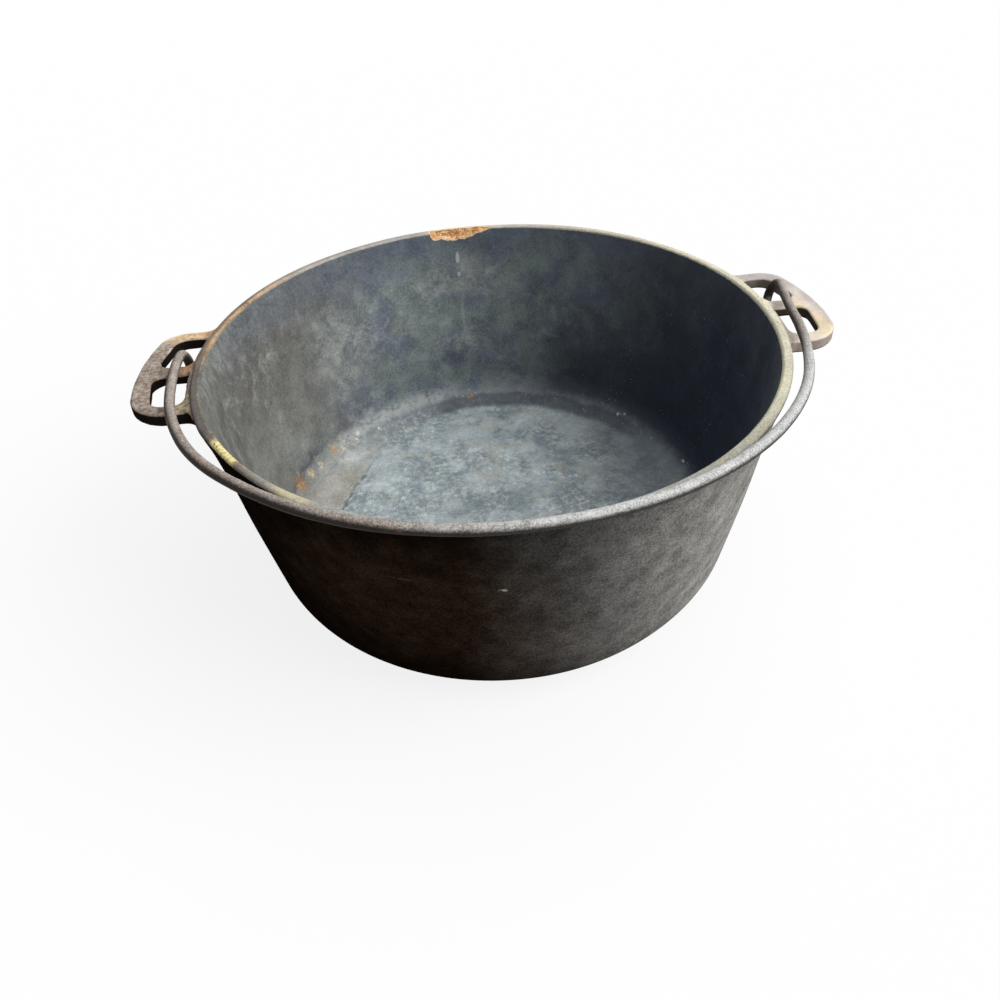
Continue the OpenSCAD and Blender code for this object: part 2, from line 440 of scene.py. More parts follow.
def surface_net(field, origin, step):
    """Points and four-sided faces on the zero surface of a sampled distance."""
    inside = field < 0
    shape = np.array(field.shape) - 1
    count = np.zeros(shape, int)
    for dx, dy, dz in np.ndindex(2, 2, 2):
        count += inside[dx:dx + shape[0], dy:dy + shape[1], dz:dz + shape[2]]
    active = (count > 0) & (count < 8)
    index = np.full(shape, -1)
    index[active] = np.arange(active.sum())
    total = np.zeros((active.sum(), 3))
    hits = np.zeros(active.sum())
    faces = []
    for axis in range(3):
        u, v = [k for k in range(3) if k != axis]
        low = np.take(field, range(field.shape[axis] - 1), axis)
        high = np.take(field, range(1, field.shape[axis]), axis)
        edges = np.argwhere((low < 0) != (high < 0))
        a, b = low[tuple(edges.T)], high[tuple(edges.T)]
        place = edges.astype(float)
        place[:, axis] += a / (a - b)
        around = []
        for du, dv in ((0, 0), (1, 0), (1, 1), (0, 1)):
            cell = edges.copy()
            cell[:, u] -= du
            cell[:, v] -= dv
            valid = ((cell >= 0) & (cell < shape)).all(1)
            number = np.full(len(cell), -1)
            number[valid] = index[tuple(cell[valid].T)]
            around.append(number)
            np.add.at(total, number[valid], place[valid])
            np.add.at(hits, number[valid], 1)
        quad = np.stack(around, axis=1)
        turned = (a < 0) if axis != 1 else (a >= 0)
        quad[turned] = quad[turned][:, ::-1]
        faces.append(quad[(quad >= 0).all(1)])
    return origin + step * total / hits[:, None], np.vstack(faces)


def gradient(shape, points, h=0.00005):
    """Unit direction in which the distance grows, and the distance, at points."""
    x, y, z = points.T
    rise = np.stack([
        shape.distance(x + h, y, z) - shape.distance(x - h, y, z),
        shape.distance(x, y + h, z) - shape.distance(x, y - h, z),
        shape.distance(x, y, z + h) - shape.distance(x, y, z - h),
    ], axis=1)
    return unit(rise), shape.distance(x, y, z)


def make_ear(name, side, seed, materials):
    """One ear, towards +X for side 1 and towards -X for side -1."""
    shape = EarShape(seed)
    reach = EAR_LEN / 2 + 0.021
    inward = RIM_R * math.cos(math.asin(reach / RIM_R)) - 0.006
    low = np.array([inward, -reach, EAR_TOP - EAR_T - 0.007])
    high = np.array([EAR_OUT + 0.0015, reach, POT_H + 0.0015])
    axes = [np.arange(a, b, EAR_GRID) for a, b in zip(low, high)]
    flat_x, flat_y = np.meshgrid(axes[0], axes[1], indexing="ij")
    plan = [part[:, :, None] for part in shape.plan(flat_x, flat_y)]
    x, y, z = np.meshgrid(*axes, indexing="ij")
    points, faces = surface_net(shape.distance(x, y, z, plan), low, EAR_GRID)
    for _ in range(2):
        normal, distance = gradient(shape, points)
        points = points - normal * distance[:, None]
    off_wall = np.abs(wall_distance(*points.T))
    outside = np.hypot(points[:, 0], points[:, 1]) > wall_x(points[:, 2]) - WALL_T * 0.6
    faces = faces[(off_wall[faces] > 0.00003).any(1) & outside[faces].all(1)]
    used = np.unique(faces)
    renumber = np.full(len(points), -1)
    renumber[used] = np.arange(len(used))
    points, normal, off_wall = points[used], normal[used], off_wall[used]
    faces = renumber[faces]
    edge = np.clip(1 + shape.distance(*(points - normal * EDGE_REACH).T) / EDGE_REACH, 0, 1)
    hollow = np.clip(1 - shape.distance(*(points + normal * EDGE_REACH).T) / EDGE_REACH, 0, 1)
    fade = np.clip(off_wall / 0.001, 0, 1)
    under_skin = EAR_SINK * (1 - np.clip(off_wall / EAR_SINK, 0, 1))
    points = points + normal * (shape.rough(points) * fade - under_skin)[:, None]
    if side < 0:
        points = points * [-1, 1, 1]
        faces = faces[:, ::-1]
    ear = new_mesh(name, cast_wobble(points), faces, materials)
    set_values(ear, "edge", edge)
    set_values(ear, "hollow", hollow)
    return ear


# How far the hand-bent wire strays outwards from its round, in millimetres, at angles
# round the mouth from the front. Beyond 90 degrees lie the hooks' far sides.
BEND_TURNS = [-98, -94, -90, -83, -72, -59, -45, -25, 0, 25, 45, 58, 68, 78, 85, 90, 94, 98]
BEND_MM = [-4.2, -3.9, -3.0, -2.1, 0.4, 2.1, 1.1, 0.4, 0.1,
           1.0, 1.3, 0.5, -1.1, -2.2, -2.0, -0.1, 2.1, 3.5]


def spin(axis, degrees):
    return np.array(Matrix.Rotation(math.radians(degrees), 3, axis))


def hook_line(run, sweep, lean, end):
    """Middle line of one hook, which starts over the bar's middle and turns down and back."""
    ahead = np.linspace(0, run, 12)[1:]
    turn = np.radians(np.linspace(0, sweep, 64)[1:])
    straight_part = np.stack([0 * ahead, ahead, 0 * ahead], axis=1)
    drop = HOOK_R * np.cos(turn) - HOOK_R
    round_part = np.stack([0 * turn, run + HOOK_R * np.sin(turn), drop], axis=1)
    return np.vstack([straight_part, round_part]) @ (spin("Z", -end) @ spin("Y", lean)).T


def bail_line():
    """Middle line of the wire at rest, from the tip of the left hook to that of the right."""
    bail_y = (HOOK_X ** 2 - BAIL_FRONT ** 2) / (2 * BAIL_FRONT)
    bail_r = BAIL_FRONT + bail_y
    end = math.degrees(math.asin(bail_y / bail_r))
    loop_h = HOOK_R
    rise = POT_H + BAIL_GAP + WIRE_R - BAR_Z - loop_h
    tilt = math.degrees(math.asin(rise / BAIL_FRONT))
    bow = arc((0, bail_y), bail_r, 180 + end, 360 - end, 420)
    bow = np.column_stack([bow, np.full(len(bow), loop_h)])
    left, right = [
        hook_line(run, sweep, lean, end) + [HOOK_X, 0, loop_h]
        for run, sweep, lean in zip(HOOK_RUN, HOOK_SWEEP, HOOK_LEAN)
    ]
    left = left * [-1, 1, 1]
    line = np.vstack([left[::-1], bow, right])
    around = np.degrees(np.arctan2(line[:, 0], -line[:, 1]))
    stray = smooth_through(around, BEND_TURNS, BEND_MM) * 0.001
    line[:, :2] += unit(line[:, :2]) * stray[:, None]
    return line @ spin("X", -tilt).T + [0, 0, BAR_Z]


def smooth_through(x, knots, values):
    """A smooth curve through a few given values."""
    knots, values = np.array(knots, float), np.array(values, float)
    slope = np.gradient(values, knots)
    k = np.clip(np.searchsorted(knots, x) - 1, 0, len(knots) - 2)
    width = knots[k + 1] - knots[k]
    t = np.clip((x - knots[k]) / width, 0, 1)
    return ((2 * t ** 3 - 3 * t ** 2 + 1) * values[k] + (t ** 3 - 2 * t ** 2 + t) * width * slope[k]
            + (3 * t ** 2 - 2 * t ** 3) * values[k + 1] + (t ** 3 - t ** 2) * width * slope[k + 1])


def even_steps(line, step):
    """The same line with points the same distance apart."""
    length = np.concatenate([[0], np.cumsum(np.linalg.norm(np.diff(line, axis=0), axis=1))])
    where = np.linspace(0, length[-1], int(length[-1] / step))
    return np.stack([np.interp(where, length, line[:, k]) for k in range(3)], axis=1), where


def make_bail(material):
    """The bail: one bent wire with a hook at each end and cut tips."""
    line, where = even_steps(bail_line(), 0.0011)
    ahead = unit(np.gradient(line, axis=0))
    side = np.zeros_like(line)
    side[0] = unit(np.cross(ahead[0], [1, 0, 0]))
    for k in range(1, len(line)):
        side[k] = unit(side[k - 1] - (side[k - 1] @ ahead[k]) * ahead[k])
    up = np.cross(ahead, side)
    from_end = np.minimum(where, where[-1] - where)
    tip = np.clip(1 - from_end / 0.0014, 0, 1)
    radius = WIRE_R * (1 - 0.42 * tip ** 2)
    turn = np.arange(WIRE_SIDES) * 2 * math.pi / WIRE_SIDES
    spoke = np.cos(turn)[None, :, None] * side[:, None] + np.sin(turn)[None, :, None] * up[:, None]
    points = (line[:, None] + spoke * radius[:, None, None]).reshape(-1, 3)
    dents = 0.035 * ripple(points, 0.022, 51) + 0.016 * ripple(points, 0.009, 52)
    points += spoke.reshape(-1, 3) * (dents * 0.001)[:, None]
    n = len(line)
    points = np.vstack([points, line[:1], line[-1:]])
    i = np.arange(WIRE_SIDES)
    j = (i + 1) % WIRE_SIDES
    faces = ring_faces(n, WIRE_SIDES)
    last = (n - 1) * WIRE_SIDES
    faces += [[b, a, n * WIRE_SIDES] for a, b in zip(i, j)]
    faces += [[last + a, last + b, n * WIRE_SIDES + 1] for a, b in zip(i, j)]
    return new_mesh("bail_wire", points, faces, [material])


class Nodes:
    """Builds nodes in one tree."""

    def __init__(self, tree):
        self.tree = tree

    def node(self, kind, **settings):
        """A new node of a kind with its settings."""
        node = self.tree.nodes.new("ShaderNode" + kind)
        for name, value in settings.items():
            setattr(node, name, value)
        return node

    def put(self, socket, value):
        """Links a socket, or sets its value."""
        if isinstance(value, bpy.types.NodeSocket):
            self.tree.links.new(value, socket)
        else:
            socket.default_value = value

    def fill(self, node, **values):
        """Links or sets a node's inputs by name, with _ for a space."""
        for name, value in values.items():
            self.put(node.inputs[name.replace("_", " ")], value)

    def feed(self, node, *values):
        """Links or sets a node's first inputs."""
        for socket, value in zip(node.inputs, values):
            self.put(socket, value)
        return node.outputs

    def math(self, operation, *values):
        """The result of one operation on up to three numbers."""
        return self.feed(self.node("Math", operation=operation), *values)[0]

    def mix(self, share, a, b, blend="MIX"):
        """Colour a where share is 0 and b where it is 1."""
        node = self.node("Mix", data_type="RGBA", blend_type=blend, clamp_factor=True)
        self.fill(node, Factor=share, A=a, B=b)
        return node.outputs["Result"]

    def seen(self):
        """1 for camera, glossy and transmission rays and 0 for all others."""
        path = self.node("LightPath").outputs
        total = path["Is Camera Ray"]
        for ray in ("Is Glossy Ray", "Is Transmission Ray"):
            add = self.node("Math", operation="ADD", use_clamp=True)
            total = self.feed(add, total, path[ray])[0]
        return total

    def view(self, shown, lighting):
        """One grey for camera, glossy and transmission rays and another for all others."""
        return self.mix(self.seen(), lighting, shown)


class Paint(Nodes):
    """Builds one material's nodes. Positions are in millimetres in the object's own frame."""

    def __init__(self, name):
        self.material = bpy.data.materials.new(name)
        self.material.use_nodes = True
        super().__init__(self.material.node_tree)
        self.shader = self.tree.nodes["Principled BSDF"]
        coordinates = self.node("TexCoord")
        self.place = self.vector("MULTIPLY", coordinates.outputs["Object"], (1000, 1000, 1000))
        self.east, _, self.up = self.split(coordinates.outputs["Normal"])
        self.x, self.y, self.z = self.split(self.place)
        squares = self.times(self.x, self.x), self.times(self.y, self.y)
        self.radius = self.math("SQRT", self.math("ADD", *squares))
        self.turn = self.math("DEGREES", self.math("ARCTAN2", self.y, self.x))

    def split(self, vector):
        """The three parts of a vector."""
        return self.feed(self.node("SeparateXYZ"), vector)

    def vector(self, operation, *values):
        """The result of one operation on one or two vectors."""
        outputs = self.feed(self.node("VectorMath", operation=operation), *values)
        return outputs["Value" if operation in ("LENGTH", "DOT_PRODUCT") else "Vector"]

    def noise(self, size, detail=3, roughness=0.55, distortion=0.0, stretch=(1, 1, 1), seed=0):
        """Noise with features of about that size in millimetres, 0 to 1."""
        place = self.vector("MULTIPLY", self.place, tuple(1 / s for s in stretch))
        place = self.vector("ADD", place, (seed * 7.3, seed * 3.1, seed * 5.7))
        node = self.node("TexNoise")
        self.fill(node, Vector=place, Scale=1 / size, Detail=detail, Roughness=roughness,
                  Distortion=distortion)
        return node.outputs["Fac"]

    def step(self, value, low, high):
        """0 below low, 1 above high and smooth between. low may be the higher one."""
        node = self.node("MapRange", interpolation_type="SMOOTHSTEP")
        ends = (high, low, 1.0, 0.0) if low > high else (low, high, 0.0, 1.0)
        return self.feed(node, value, *ends)["Result"]

    def band(self, value, low, high, soft):
        """1 between low and high, fading over soft at both."""
        rise = self.step(value, low - soft, low + soft)
        return self.times(rise, self.step(value, high + soft, high - soft))

    def patchy(self, low, high, *noise, **more):
        """Noise cut down to patches: 0 where it is below low and 1 where it is above high."""
        return self.step(self.noise(*noise, **more), low, high)

    def plus(self, value, other, share):
        """A value with a share of another one added."""
        return self.math("MULTIPLY_ADD", other, share, value)

    def blend(self, value, other, share):
        """A value replaced by another one for a share."""
        return self.plus(self.times(value, 1 - share), other, share)

    def times(self, *values):
        """The product of all values."""
        return reduce(lambda a, b: self.math("MULTIPLY", a, b), values)

    def most(self, a, b):
        """The larger of two values."""
        return self.math("MAXIMUM", a, b)

    def coats(self, colour, *coats):
        """Lays coats over a colour in turn. Each is a tint and the shares whose product it has."""
        for tint, *shares in coats:
            colour = self.mix(self.times(*shares), colour, tint)
        return colour

    def stored(self, name):
        """A number kept with each point of the mesh."""
        return self.node("Attribute", attribute_name=name).outputs["Fac"]

    def spot(self, centre, reach, edge, ragged, size, seed):
        """A ragged blot round a point: 1 in its middle, 0 outside reach (millimetres each way)."""
        away = self.vector("SUBTRACT", self.place, centre)
        away = self.vector("LENGTH", self.vector("MULTIPLY", away, tuple(1 / r for r in reach)))
        rough = self.math("SUBTRACT", self.noise(size, 4, 0.65, seed=seed), 0.5)
        return self.step(self.plus(away, rough, ragged * 2), 1 + edge / 2, 1 - edge / 2)

    def stroke(self, start, end, width):
        """A thin straight mark from start to end, seen from above, with a broken edge."""
        start = Vector((*start, 0))
        along = Vector((*end, 0)) - start
        length = along.length
        along.normalize()
        across = Vector((-along.y, along.x, 0))
        far, off = [
            self.math("SUBTRACT", self.vector("DOT_PRODUCT", self.place, way), way @ start)
            for way in (along, across)
        ]
        off = self.plus(self.math("ABSOLUTE", off), self.noise(1.5, 3, 0.6, seed=41), width)
        return self.times(self.step(off, width * 1.3, width * 0.6), self.band(far, 0, length, 1.5))

    def finish(self, colour, roughness, grain, depth_mm, specular):
        """Sets the shader's looks. The bump of the grain is depth_mm millimetres deep."""
        bump = self.node("Bump")
        self.fill(bump, Strength=1.0, Distance=depth_mm * 0.001, Height=grain)
        self.fill(self.shader, Base_Color=colour, Roughness=roughness,
                  Normal=bump.outputs["Normal"], Specular_IOR_Level=specular)
        return self.material


WHITE = srgb(255, 255, 255)
FLOOR_GREY = srgb(182, 194, 197)
FLOOR_PALE = srgb(228, 234, 231)
FLOOR_FRONT = srgb(246, 250, 246)
FLOOR_TAN = srgb(190, 184, 166)
FLOOR_CORNER = srgb(172, 164, 146)
FLOOR_DEEP = srgb(132, 146, 152)
# Painted shadow on the floor's right part.
FLOOR_SHADE = srgb(112, 124, 132)
WALL_GREEN = srgb(132, 144, 142)
WALL_SLATE = srgb(108, 117, 131)
WALL_WARM = srgb(110, 108, 103)
WALL_CLOUD = srgb(166, 170, 164)
WALL_BLUE = srgb(94, 102, 115)
# The next two colours are painted shade inside the pot.
WALL_SHADE = srgb(80, 87, 99)
NAVY_SHADE = srgb(28, 36, 54)
OUT_BROWN = srgb(82, 62, 46)
OUT_BLACK = srgb(34, 25, 19)
OUT_SLATE = srgb(46, 46, 49)
OUT_GREY = srgb(150, 148, 144)
# Pale dust on the outside's right, partly painted sheen.
OUT_PALE = srgb(204, 201, 195)
OUT_EARTH = srgb(120, 108, 88)
EAR_BROWN = srgb(134, 119, 108)
EAR_DUSTY = srgb(206, 191, 178)
EAR_CREAM = srgb(252, 234, 200)
# Pale tan of the right ear, partly its own colour and partly painted sunlight.
EAR_TAN_AND_SUNLIGHT = srgb(244, 234, 218)
EAR_YELLOW = srgb(246, 230, 184)
EAR_PINK = srgb(246, 222, 208)
EAR_LILAC = srgb(190, 185, 184)
EAR_SIDE = srgb(186, 173, 163)
EDGE_PALE = srgb(214, 208, 196)
RIM_BROWN = srgb(142, 130, 115)
RIM_SLATE = srgb(98, 98, 100)
RIM_SILVER = srgb(184, 186, 183)
RIM_CREAM = srgb(242, 238, 220)
RIM_WORN = srgb(208, 198, 166)
RUST_ORANGE = srgb(236, 184, 124)
RUST_BROWN = srgb(172, 112, 70)
RUST_YELLOW = srgb(242, 220, 182)
YELLOW_EARTH = srgb(222, 206, 156)
RIM_YELLOW = srgb(248, 232, 164)
RIM_DOTS = srgb(172, 174, 152)
COVE_RUST = srgb(206, 144, 66)
COVE_EARTH = srgb(206, 186, 138)
RUST_DEEP = srgb(140, 98, 54)
CHALK = srgb(222, 224, 220)
WIRE_BROWN = srgb(116, 107, 98)
WIRE_DUSTY = srgb(188, 178, 168)
WIRE_GREY = srgb(150, 149, 146)
WIRE_SILVER = srgb(222, 222, 220)
# Dark brown for painted shade on the ears and the wire, and for a small dark spot on the right ear.
SHADE_AND_SOOT = srgb(44, 37, 32)
INNER_GRAIN = srgb(170, 170, 170)
OUTER_GRAIN = srgb(150, 147, 143)
EAR_GRAIN = srgb(178, 172, 166)
RIM_GRAIN = srgb(168, 166, 162)


def on_wall(turn, z, inside=False):
    """A point of the wall's face at an angle round the pot and a height, in millimetres."""
    radius = (wall_x(z * 0.001) - (WALL_T if inside else 0)) * 1000
    return (radius * math.cos(math.radians(turn)), radius * math.sin(math.radians(turn)), z)


def on_cove(turn, radius):
    """A point of the curve between wall and floor at an angle and a radius, in millimetres."""
    cove = (HEEL_R - FLOOR_T) * 1000
    middle_x, middle_z = (1000 * v for v in heel_middle(HEEL_R - FLOOR_T, FLOOR_T, WALL_T))
    a = math.radians(turn)
    z = middle_z - math.sqrt(cove * cove - max(radius - middle_x, 0) ** 2)
    return (radius * math.cos(a), radius * math.sin(a), z)


def rust(p):
    """Orange rust with brown pits and cream edges."""
    pits = p.noise(2.4, 5, 0.75, seed=16)
    colour = p.mix(p.step(pits, 0.38, 0.54), RUST_BROWN, RUST_ORANGE)
    return p.mix(p.step(pits, 0.52, 0.66), colour, RUST_YELLOW)


def speckled(p, colour, dark, share, size, seed):
    """Darkens a colour down to a share of itself in fine grain and in soft patches."""
    fine, soft = p.noise(size, 4, 0.7, seed=seed), p.noise(size * 11, 5, 0.65, seed=seed + 1)
    shade = p.mix(p.step(p.blend(fine, soft, 0.45), 0.36, 0.62), dark, WHITE)
    return p.mix(share, colour, shade, "MULTIPLY")


def inner_wall_colour(p, clouds, mottle):
    """The inside wall: warm grey at the left, blue-green grey behind, and navy painted shade at the
    right.
    """
    low_left = p.times(p.step(p.plus(p.z, clouds, 40), 104, 62), p.step(p.x, -60, -112))
    scratches = p.patchy(0.38, 0.6, 3, 4, 0.7, stretch=(1, 1, 3), seed=56)
    under_rim = p.times(p.step(p.plus(p.z, mottle, 16), 94, 114), p.step(p.y, -10, 60))
    behind = p.most(p.spot((0, 124, 84), (30, 40, 9), 1.2, 0.9, 12, 5),
                    p.times(p.spot((-78, 98, 62), (22, 30, 22), 1.4, 0.9, 12, 6), 0.7))
    # Painted shade: the wall darkens to navy towards the right, and lower down it does so sooner, like
    # the shadow of the right rim.
    across = p.plus(p.plus(p.x, clouds, 70), p.z, -0.55)
    # Painted shade low on the back right of the wall.
    low_right_shade = p.times(p.step(p.plus(p.z, mottle, 20), 74, 36), p.band(p.turn, 10, 64, 10))
    return p.coats(
        WALL_SLATE,
        (WALL_GREEN, p.patchy(0.4, 0.6, 20, 5, 0.6, 0.6, seed=4)),
        (WALL_WARM, p.step(p.plus(p.x, clouds, 70), -10, -80)),
        (WALL_CLOUD, p.step(mottle, 0.46, 0.68), p.step(clouds, 0.4, 0.62), 0.7),
        (WALL_CLOUD, low_left, 0.25),
        (WALL_CLOUD, p.step(p.z, 92, 108), p.step(p.x, -84, -122), scratches, 0.55),
        (WALL_BLUE, under_rim, 0.55),
        (WALL_CLOUD, behind, p.step(mottle, 0.36, 0.6), 0.8),
        (WALL_SHADE, p.step(across, 22, 92), 0.5),
        (NAVY_SHADE, p.step(across, 56, 124)),
        (NAVY_SHADE, low_right_shade, 0.6),
    )


def inner_floor_colour(p, clouds, mottle):
    """The floor: pale blue-grey with white and tan flecks, tan at the left, and painted shadow of the
    right wall at the right.
    """
    fine = p.noise(3.2, 6, 0.75, 0.3, seed=29)
    bend = p.times(p.math("POWER", p.times(p.y, 0.01), 2), 22)
    edge = p.plus(p.plus(p.plus(p.x, mottle, 8), p.y, -0.3), bend, -1.0)
    front = p.step(p.plus(p.y, clouds, 30), 86, 44)
    return p.coats(
        FLOOR_GREY,
        (FLOOR_DEEP, p.patchy(0.4, 0.62, 19, 5, 0.65, seed=18)),
        (FLOOR_PALE, p.step(fine, 0.44, 0.7), p.step(clouds, 0.34, 0.56), 0.85),
        (FLOOR_TAN, p.patchy(0.53, 0.66, 11, 5, 0.7, seed=17), 0.6),
        (FLOOR_FRONT, p.step(p.y, 10, -70), p.step(p.x, -88, -62), p.step(fine, 0.26, 0.6), 0.9),
        (FLOOR_CORNER, p.step(edge, -83, -89), p.plus(0.2, front, 0.45)),
        # A thin ring of painted shade where the floor meets the cove at its left edge.
        (NAVY_SHADE, p.band(edge, -86.6, -85, 0.8), front, p.patchy(0.34, 0.5, 4, 3, seed=57), 0.6),
        # Painted shadow of the right wall over the floor's right part.
        (FLOOR_SHADE, p.step(p.plus(p.x, clouds, 40), 62, 118), 0.8),
    )


def cove_sheen_and_shade(p, colour):
    """Rings at the foot of the wall: a painted sheen highlight in a pale band at the back left, painted
    shade in a dark ring behind, and fine rings at the left, the darkest of them painted shade.
    """
    ring = p.plus(p.radius, p.noise(9, 4, 0.6, seed=19), 5)
    behind = p.plus(p.times(p.band(p.turn, 28, 108, 9), 0.5), p.band(p.turn, 28, 134, 7), 0.24)
    return p.coats(
        colour,
        # Painted sheen highlight: a pale band on the cove at the back left.
        (WALL_CLOUD, p.band(ring, 108, 112, 1.2), p.band(p.turn, 98, 147, 6), p.step(p.z, 22, 14),
         p.patchy(0.34, 0.54, 3, 4, 0.7, seed=30), 0.65),
        # Painted shade in the groove between the cove and the floor behind.
        (NAVY_SHADE, p.step(ring, 96, 100.5), p.step(ring, 108.4, 105.4), behind),
        (WALL_BLUE, p.band(ring, 105.2, 106.2, 0.8), p.band(p.turn, 108, 165, 6),
         p.patchy(0.4, 0.5, 6, 3, seed=31), 0.5),
        # Painted shade low on the wall at the left.
        (NAVY_SHADE, p.band(ring, 112.4, 114, 1), p.band(p.turn, 149, 171, 5), p.step(p.z, 30, 20), 0.6),
    )


# Blots on the cove: angle round the pot, radius, reach in millimetres, tint.
COVE_BLOTS = (
    (165.2, 109.7, 4.4, "rust"), (159.2, 108.3, 2.4, "earth"), (154.0, 107.5, 1.9, "earth"),
    (146.3, 107.2, 2.8, "rust"), (143.5, 105.5, 1.6, "earth"), (135.8, 106.8, 1.7, "chalk"),
    (137.5, 104.6, 1.6, "chalk"), (139.5, 103.5, 1.3, "earth"), (92.7, 104.3, 1.9, "rust"),
    (128.0, 103.0, 1.1, "chalk"), (38.0, 104.5, 1.2, "chalk"), (36.0, 105.6, 0.8, "chalk"),
    (21.8, 103.0, 0.7, "chalk"), (6.4, 105.6, 0.9, "chalk"),
)
# The drip below the chip: height and reach in millimetres, share.
DRIP_TURN = 92
DRIP = ((97, 3.2, 0.5), (86.5, 1.4, 0.45), (60, 10, 0.1))


def inner_marks(p, colour):
    """Rust and chalky blots on the cove, a drip below the chip, and white flecks."""
    rusty = p.mix(p.patchy(0.4, 0.56, 1.5, 4, 0.7, seed=54), RUST_DEEP, COVE_RUST)
    tints = {"rust": rusty, "earth": COVE_EARTH, "chalk": CHALK}
    broken = p.patchy(0.4, 0.56, 1.3, 4, 0.75, seed=32)
    blots = [
        (tints[tint], p.spot(on_cove(turn, radius), [reach] * 3, 0.9, 1.9, 1.3, turn), broken, 0.75)
        for turn, radius, reach, tint in COVE_BLOTS
    ]
    drip = [
        (CHALK, p.spot(on_wall(DRIP_TURN, z, True), (1.1, 9, reach), 0.7, 0.5, 2, z), share)
        for z, reach, share in DRIP
    ]
    flecks = p.times(p.patchy(0.66, 0.76, 1.6, 2, 0.6, seed=20), p.patchy(0.42, 0.6, 24, 2, seed=26))
    return p.coats(colour, *blots, *drip, (CHALK, flecks, p.plus(0.25, p.step(p.z, 60, 8), 0.5)))


def inner_colour(p):
    """Seasoned iron inside the pot."""
    clouds = p.noise(34, 4, 0.6, 0.4, seed=1)
    mottle = p.noise(8, 6, 0.7, 0.4, seed=2)
    wall, floor = inner_wall_colour(p, clouds, mottle), inner_floor_colour(p, clouds, mottle)
    colour = p.mix(p.step(p.plus(p.z, mottle, 6), 17, 8), wall, floor)
    share = p.plus(0.6, p.step(p.z, 8, 20), 0.25)
    return inner_marks(p, cove_sheen_and_shade(p, speckled(p, colour, INNER_GRAIN, share, 1.1, 3)))


# Marks on the outside: angle, height and reach each way in millimetres, tint, share.
OUTER_MARKS = (
    (-96.2, 79.9, (1.4, 1, 0.8), CHALK, 1.0),
    (-68.7, 19.4, (0.9, 1, 0.7), CHALK, 0.9),
    (-112, 84, (4, 4, 0.6), OUT_GREY, 0.22),
)


def outer_colour(p):
    """Burnt brown-black skin outside, turning greyer and paler towards the right, partly dust and
    partly painted sheen and light.
    """
    clouds = p.noise(40, 4, 0.6, 0.5, seed=5)
    mottle = p.noise(9, 6, 0.7, 0.3, seed=6)
    grain = p.noise(0.9, 3, 0.7, seed=7)
    brown = p.most(p.spot((-46, -108, 70), (52, 40, 34), 1.2, 0.8, 16, 44),
                   p.spot((2, -112, 40), (34, 40, 18), 1.2, 0.8, 14, 45))
    scuffs = p.patchy(0.56, 0.72, 1.1, 4, 0.7, stretch=(6, 6, 1), seed=9)
    skin = p.coats(
        OUT_BLACK,
        (OUT_BROWN, brown, p.step(p.blend(grain, mottle, 0.4), 0.3, 0.7)),
        (OUT_SLATE, p.step(p.x, -10, 40), 0.8),
        (OUT_GREY, scuffs, p.step(mottle, 0.42, 0.58), 0.1),
    )
    low = p.step(p.plus(p.z, clouds, 30), 44, 18)
    dust_and_sheen = p.coats(
        OUT_GREY,
        (OUT_PALE, p.step(p.blend(grain, mottle, 0.2), 0.36, 0.66)),
        (OUT_EARTH, low, p.step(mottle, 0.4, 0.56), 0.5),
    )
    # Partly dust and partly painted sheen and light: the skin turns pale grey towards the right.
    across = p.plus(p.plus(p.x, clouds, 36), mottle, 14)
    broken = p.step(grain, 0.4, 0.5)
    marks = [
        (tint, p.spot(on_wall(turn, z), reach, 0.7, 1.2, 1.4, turn), broken, share)
        for turn, z, reach, tint, share in OUTER_MARKS
    ]
    colour = p.coats(skin, (dust_and_sheen, p.step(across, -6, 112)), *marks)
    return speckled(p, colour, OUTER_GRAIN, 0.8, 0.8, 33)


# Scratches on the left ear, seen from above: start and end in millimetres.
EAR_SCRATCHES = (
    ((-157.6, -16), (-154.6, -4)), ((-154.6, -4), (-155.8, 12)), ((-153.4, -28), (-157.2, -20)),
    ((-157.2, -20), (-153.6, -12)), ((-150.6, 14), (-156, 20)),
)


def left_ear_colour(p, mottle, patches):
    """Brown-grey, scratched, with rust at its far end and where the bar meets the rim."""
    scratched = p.patchy(0.44, 0.52, 2.2, 3, 0.6, seed=46)
    far_end = p.step(p.plus(p.y, patches, 14), 33, 40)
    tongue = p.spot((-138.5, 3, 111), (8, 7, 7), 0.7, 0.8, 4, 42)
    near_end = p.spot((-134, -31, 110), (8, 9, 9), 0.9, 0.9, 3, 43)
    return p.coats(
        EAR_BROWN,
        (EAR_DUSTY, p.step(mottle, 0.36, 0.64)),
        *[(EDGE_PALE, p.stroke(start, end, 0.45), scratched, 0.75) for start, end in EAR_SCRATCHES],
        (EAR_CREAM, far_end, p.step(mottle, 0.3, 0.46), 0.95),
        (rust(p), p.most(far_end, tongue), p.step(p.plus(p.x, patches, 16), -146, -138), 0.6),
        (YELLOW_EARTH, near_end, p.step(mottle, 0.42, 0.56), 0.7),
    )


def right_ear_colour(p, mottle, patches):
    """Pale tan, partly its own colour and partly painted sunlight, with yellow and pink tints, greyer
    at its outer edge and far end.
    """
    yellow = p.most(p.spot((152, -25, 110), (7, 10, 6), 1.0, 0.9, 4, 47),
                    p.spot((148, -6, 110), (4, 8, 6), 1.0, 0.9, 4, 48))
    grey = p.most(p.step(p.plus(p.y, patches, 20), 10, 34), p.step(p.plus(p.x, patches, 8), 158, 163))
    return p.coats(
        # Its pale tan is partly its own colour and partly painted sunlight.
        EAR_TAN_AND_SUNLIGHT,
        (EAR_PINK, p.step(patches, 0.46, 0.64)),
        (EAR_YELLOW, yellow, p.step(mottle, 0.4, 0.56)),
        (EAR_LILAC, grey, 0.75),
        (SHADE_AND_SOOT, p.spot((150.5, 11, 113), (1.3, 1.3, 6), 0.6, 0.6, 1.2, 49)),
    )


